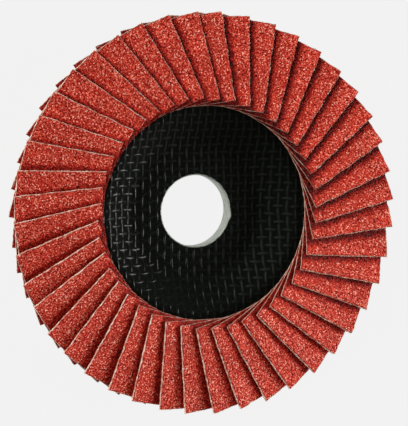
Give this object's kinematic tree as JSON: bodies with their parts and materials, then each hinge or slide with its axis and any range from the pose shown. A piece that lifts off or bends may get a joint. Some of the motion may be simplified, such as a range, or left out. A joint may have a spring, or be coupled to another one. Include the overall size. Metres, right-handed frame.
{
  "type": "abrasive flap disc",
  "caption": "Round grinding disc with overlapping grit-coated cloth flaps fanned round a depressed-centre fibre-laminate backing plate with a metal-lined bore.",
  "frame": {"origin": "on the bore axis at the back seating face of the hub", "axes": "+Z along the bore axis towards the abrasive flaps; X and Y across the disc, Y towards the first flap"},
  "size_m": [0.1254, 0.1254, 0.0171],
  "materials": {
    "abrasive_cloth": "coarse red grit bonded on cotton-polyester cloth, matt",
    "flap_cloth": "undyed twill cloth seen at the cut edges and on the back of the flaps",
    "adhesive": "cured resin bead, dull",
    "glass_fibre_laminate": "black resin over coarse woven glass scrim, semi-gloss",
    "ring_metal": "drawn metal, dull with scuffs",
    "label_paper": "plain matt paper label"
  },
  "bodies": {
    "root": {"flap_01": "abrasive_cloth", "flap_02": "abrasive_cloth", "flap_03": "abrasive_cloth", "flap_04": "abrasive_cloth", "flap_05": "abrasive_cloth", "flap_06": "abrasive_cloth", "flap_07": "abrasive_cloth", "flap_08": "abrasive_cloth", "flap_09": "abrasive_cloth", "flap_10": "abrasive_cloth", "flap_11": "abrasive_cloth", "flap_12": "abrasive_cloth", "flap_13": "abrasive_cloth", "flap_14": "abrasive_cloth", "flap_15": "abrasive_cloth", "flap_16": "abrasive_cloth", "flap_17": "abrasive_cloth", "flap_18": "abrasive_cloth", "flap_19": "abrasive_cloth", "flap_20": "abrasive_cloth", "flap_21": "abrasive_cloth", "flap_22": "abrasive_cloth", "flap_23": "abrasive_cloth", "flap_24": "abrasive_cloth", "flap_25": "abrasive_cloth", "flap_26": "abrasive_cloth", "flap_27": "abrasive_cloth", "flap_28": "abrasive_cloth", "flap_29": "abrasive_cloth", "flap_30": "abrasive_cloth", "flap_31": "abrasive_cloth", "flap_32": "abrasive_cloth", "flap_33": "abrasive_cloth", "flap_34": "abrasive_cloth", "flap_35": "abrasive_cloth", "flap_36": "abrasive_cloth", "flap_37": "abrasive_cloth", "flap_38": "abrasive_cloth", "flap_39": "abrasive_cloth", "flap_40": "abrasive_cloth", "flap_41": "abrasive_cloth", "flap_42": "abrasive_cloth", "flap_43": "abrasive_cloth", "flap_44": "abrasive_cloth", "adhesive_ring": "adhesive", "backing_ply_front": "glass_fibre_laminate", "backing_ply_middle": "glass_fibre_laminate", "backing_ply_back": "glass_fibre_laminate", "hub_ply_upper": "glass_fibre_laminate", "hub_ply_lower": "glass_fibre_laminate", "arbor_ring": "ring_metal", "back_label": "label_paper"}
  },
  "joints": []
}
